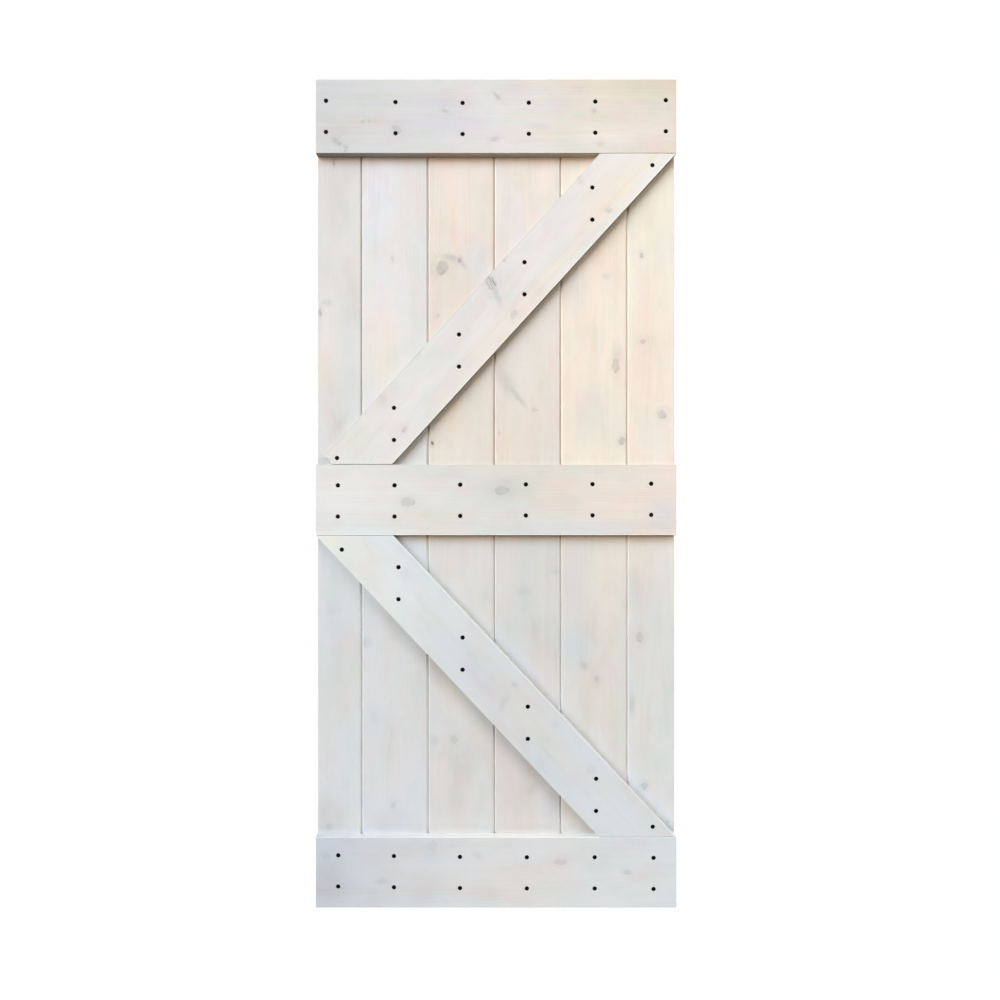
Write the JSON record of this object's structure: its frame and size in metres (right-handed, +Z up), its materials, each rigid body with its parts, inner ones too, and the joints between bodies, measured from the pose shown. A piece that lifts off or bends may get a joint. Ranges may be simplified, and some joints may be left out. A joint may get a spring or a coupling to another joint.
{
  "type": "barn door",
  "caption": "Barn door slab of whitewashed knotty pine boards with V-joints, held by flat rails and diagonal braces that form a K, fixed with black screws; hangs from a sliding track.",
  "frame": {"origin": "middle of the top rail's front face, where the hangers of a sliding track bear", "axes": "+Z up along the boards, -Y out of the front face, +X to the right as seen from the front"},
  "size_m": [0.914, 0.038, 2.1],
  "materials": {
    "whitewashed_pine": "matte white stain over knotty pine",
    "black_screws": "satin black coating"
  },
  "bodies": {
    "root": {"left_edge_board": "whitewashed_pine", "board_2": "whitewashed_pine", "board_3": "whitewashed_pine", "board_4": "whitewashed_pine", "board_5": "whitewashed_pine", "right_edge_board": "whitewashed_pine", "top_rail": "whitewashed_pine", "middle_rail": "whitewashed_pine", "bottom_rail": "whitewashed_pine", "upper_brace": "whitewashed_pine", "lower_brace": "whitewashed_pine"}
  },
  "joints": []
}
